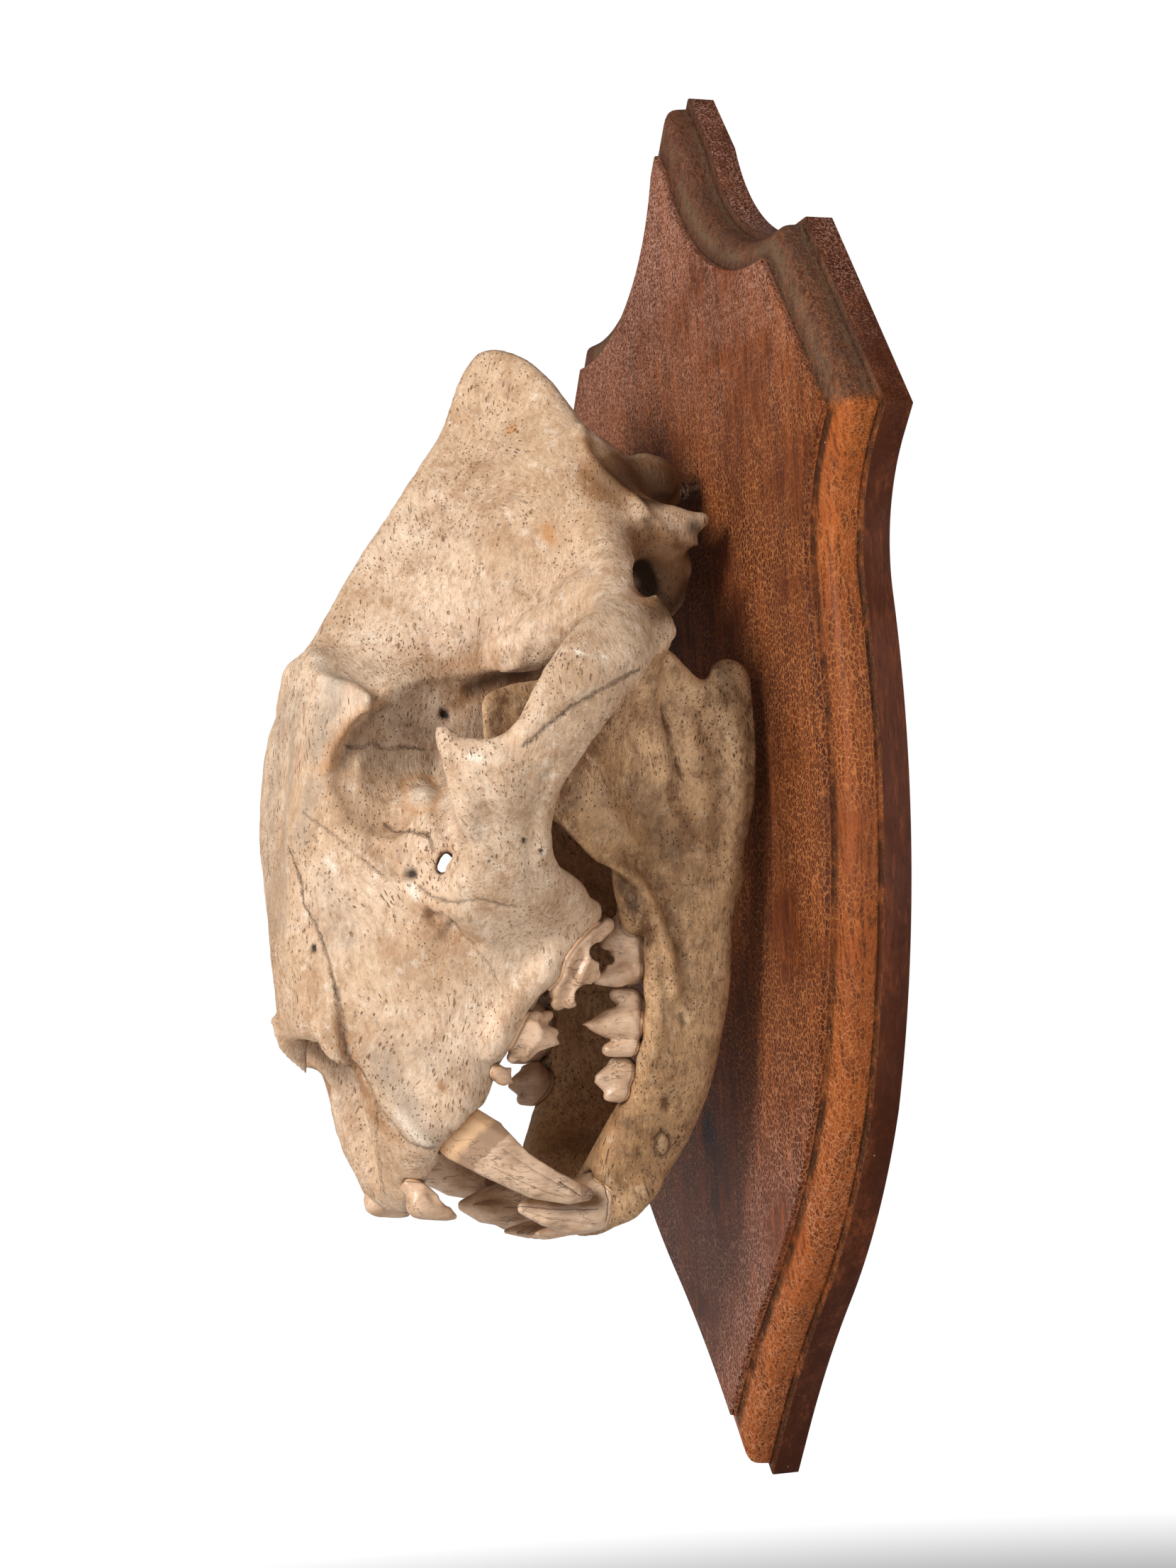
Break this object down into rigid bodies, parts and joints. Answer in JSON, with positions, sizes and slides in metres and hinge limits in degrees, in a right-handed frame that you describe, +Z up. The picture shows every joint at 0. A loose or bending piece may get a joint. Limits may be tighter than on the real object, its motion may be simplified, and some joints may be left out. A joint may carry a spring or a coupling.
{
  "type": "lion skull",
  "caption": "Big-cat skull with both jaws, long canines and wide cheek arches, fixed nose down to a carved wooden shield with a moulded edge and a peaked top.",
  "frame": {"origin": "on the shield's flat back face, on its middle line, at the height where the skull's face is widest", "axes": "+Z up towards the shield's peak, -Y out from the wall towards the viewer, +X towards the skull's left"},
  "size_m": [0.3216, 0.2073, 0.5677],
  "materials": {
    "wood": "old polished reddish-brown hardwood",
    "bone": "dry warm beige bone, slightly waxy",
    "tooth": "satin enamel with long cracks",
    "wire": "dull dark wire"
  },
  "bodies": {
    "root": {"shield": "wood", "cranium": "bone", "mandible_left": "bone", "mandible_right": "bone", "fixing_wire": "wire", "upper_incisor_1_left": "tooth", "upper_incisor_1_right": "tooth", "upper_incisor_2_left": "tooth", "upper_incisor_2_right": "tooth", "upper_incisor_3_left": "tooth", "upper_incisor_3_right": "tooth", "upper_canine_left": "tooth", "upper_canine_right": "tooth", "upper_premolar_2_left": "tooth", "upper_premolar_2_right": "tooth", "upper_premolar_3_left": "tooth", "upper_premolar_3_right": "tooth", "upper_premolar_4_left": "tooth", "upper_premolar_4_right": "tooth", "upper_molar_1_left": "tooth", "upper_molar_1_right": "tooth", "lower_incisor_1_left": "tooth", "lower_incisor_1_right": "tooth", "lower_incisor_2_left": "tooth", "lower_incisor_2_right": "tooth", "lower_incisor_3_left": "tooth", "lower_incisor_3_right": "tooth", "lower_canine_left": "tooth", "lower_canine_right": "tooth", "lower_premolar_3_left": "tooth", "lower_premolar_3_right": "tooth", "lower_premolar_4_left": "tooth", "lower_premolar_4_right": "tooth", "lower_molar_1_left": "tooth", "lower_molar_1_right": "tooth"}
  },
  "joints": []
}
